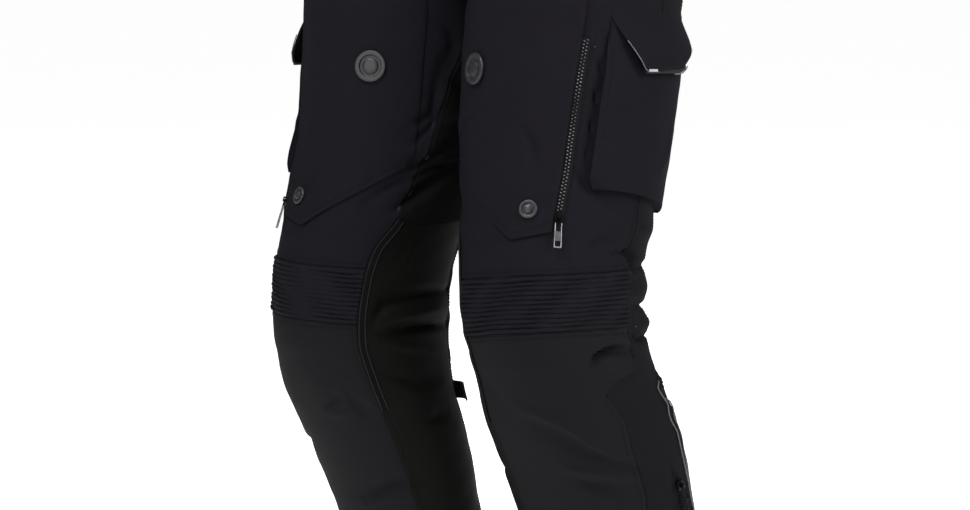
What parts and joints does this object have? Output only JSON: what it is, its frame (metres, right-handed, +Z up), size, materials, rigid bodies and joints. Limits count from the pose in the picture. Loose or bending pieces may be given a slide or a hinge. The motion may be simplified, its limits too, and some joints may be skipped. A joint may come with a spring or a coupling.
{
  "type": "motorcycle trousers",
  "caption": "Textile motorcycle trousers in worn form, hollow, with ribbed knee stretch panels, cargo pockets, thigh vent zips and hem zips.",
  "frame": {"origin": "centre of the waist opening, level with the waistband's top edge", "axes": "+Z up, -Y to the front, +X to the wearer's left"},
  "size_m": [0.4766, 0.3051, 1.0702],
  "materials": {
    "cloth": "matt woven textile, blue-black",
    "side_cloth": "matt woven textile, black",
    "stretch": "ribbed stretch textile, blue-black",
    "shin_cloth": "coarse matt textile, dark grey",
    "grip": "smooth, warm black",
    "piping": "corded piping, dark grey",
    "reflective": "reflective piping, silver grey",
    "badge": "moulded, satin grey",
    "metal": "satin nickel",
    "tape": "zip tape, black",
    "webbing": "woven strap, black"
  },
  "bodies": {
    "garment": {"front_thigh_left": "cloth", "vent_flap_left": "cloth", "thigh_zip_tape_left": "tape", "thigh_slider_left": "metal", "disc_left": "badge", "button_left": "badge", "rib_band_left": "stretch", "shin_left": "shin_cloth", "inner_thigh_left": "side_cloth", "inner_knee_left": "grip", "inner_piping_left": "piping", "inner_calf_left": "side_cloth", "outer_side_left": "side_cloth", "lower_gusset_left": "side_cloth", "side_piping_left": "reflective", "hem_zip_tape_left": "tape", "hem_slider_left": "metal", "back_thigh_left": "cloth", "back_calf_left": "side_cloth", "calf_tab_left": "webbing", "cargo_pocket_left": "cloth", "cargo_flap_left": "cloth", "flap_piping_left": "reflective", "front_thigh_right": "cloth", "vent_flap_right": "cloth", "thigh_zip_tape_right": "tape", "thigh_slider_right": "metal", "disc_right": "badge", "button_right": "badge", "rib_band_right": "stretch", "shin_right": "shin_cloth", "inner_thigh_right": "side_cloth", "inner_knee_right": "grip", "inner_piping_right": "piping", "inner_calf_right": "side_cloth", "outer_side_right": "side_cloth", "lower_gusset_right": "side_cloth", "side_piping_right": "reflective", "hem_zip_tape_right": "tape", "hem_slider_right": "metal", "back_thigh_right": "cloth", "back_calf_right": "side_cloth", "calf_tab_right": "webbing", "cargo_pocket_right": "cloth", "cargo_flap_right": "cloth", "flap_piping_right": "reflective", "waistband": "cloth", "fly": "cloth", "waist_snap": "metal"},
    "thigh_pull_left": {"thigh_pull_left": "metal"},
    "hem_pull_left": {"hem_pull_left": "metal"},
    "thigh_pull_right": {"thigh_pull_right": "metal"},
    "hem_pull_right": {"hem_pull_right": "metal"}
  },
  "joints": [
    {"name": "thigh_pull_left_swing", "type": "hinge", "parent": "garment", "child": "thigh_pull_left", "pos_m": [0.17101, -0.13554, -0.4831], "axis": [-0.7835, -0.597, 0.1725], "range_deg": [0, 165]},
    {"name": "hem_pull_left_swing", "type": "hinge", "parent": "garment", "child": "hem_pull_left", "pos_m": [0.23486, -0.00535, -0.76189], "axis": [-0.1768, -0.881, -0.4389], "range_deg": [-4, 160]},
    {"name": "thigh_pull_right_swing", "type": "hinge", "parent": "garment", "child": "thigh_pull_right", "pos_m": [-0.17101, -0.13554, -0.4831], "axis": [-0.7835, 0.597, -0.1725], "range_deg": [0, 165]},
    {"name": "hem_pull_right_swing", "type": "hinge", "parent": "garment", "child": "hem_pull_right", "pos_m": [-0.23486, -0.00535, -0.76189], "axis": [-0.1768, 0.881, 0.4389], "range_deg": [-4, 160]}
  ]
}
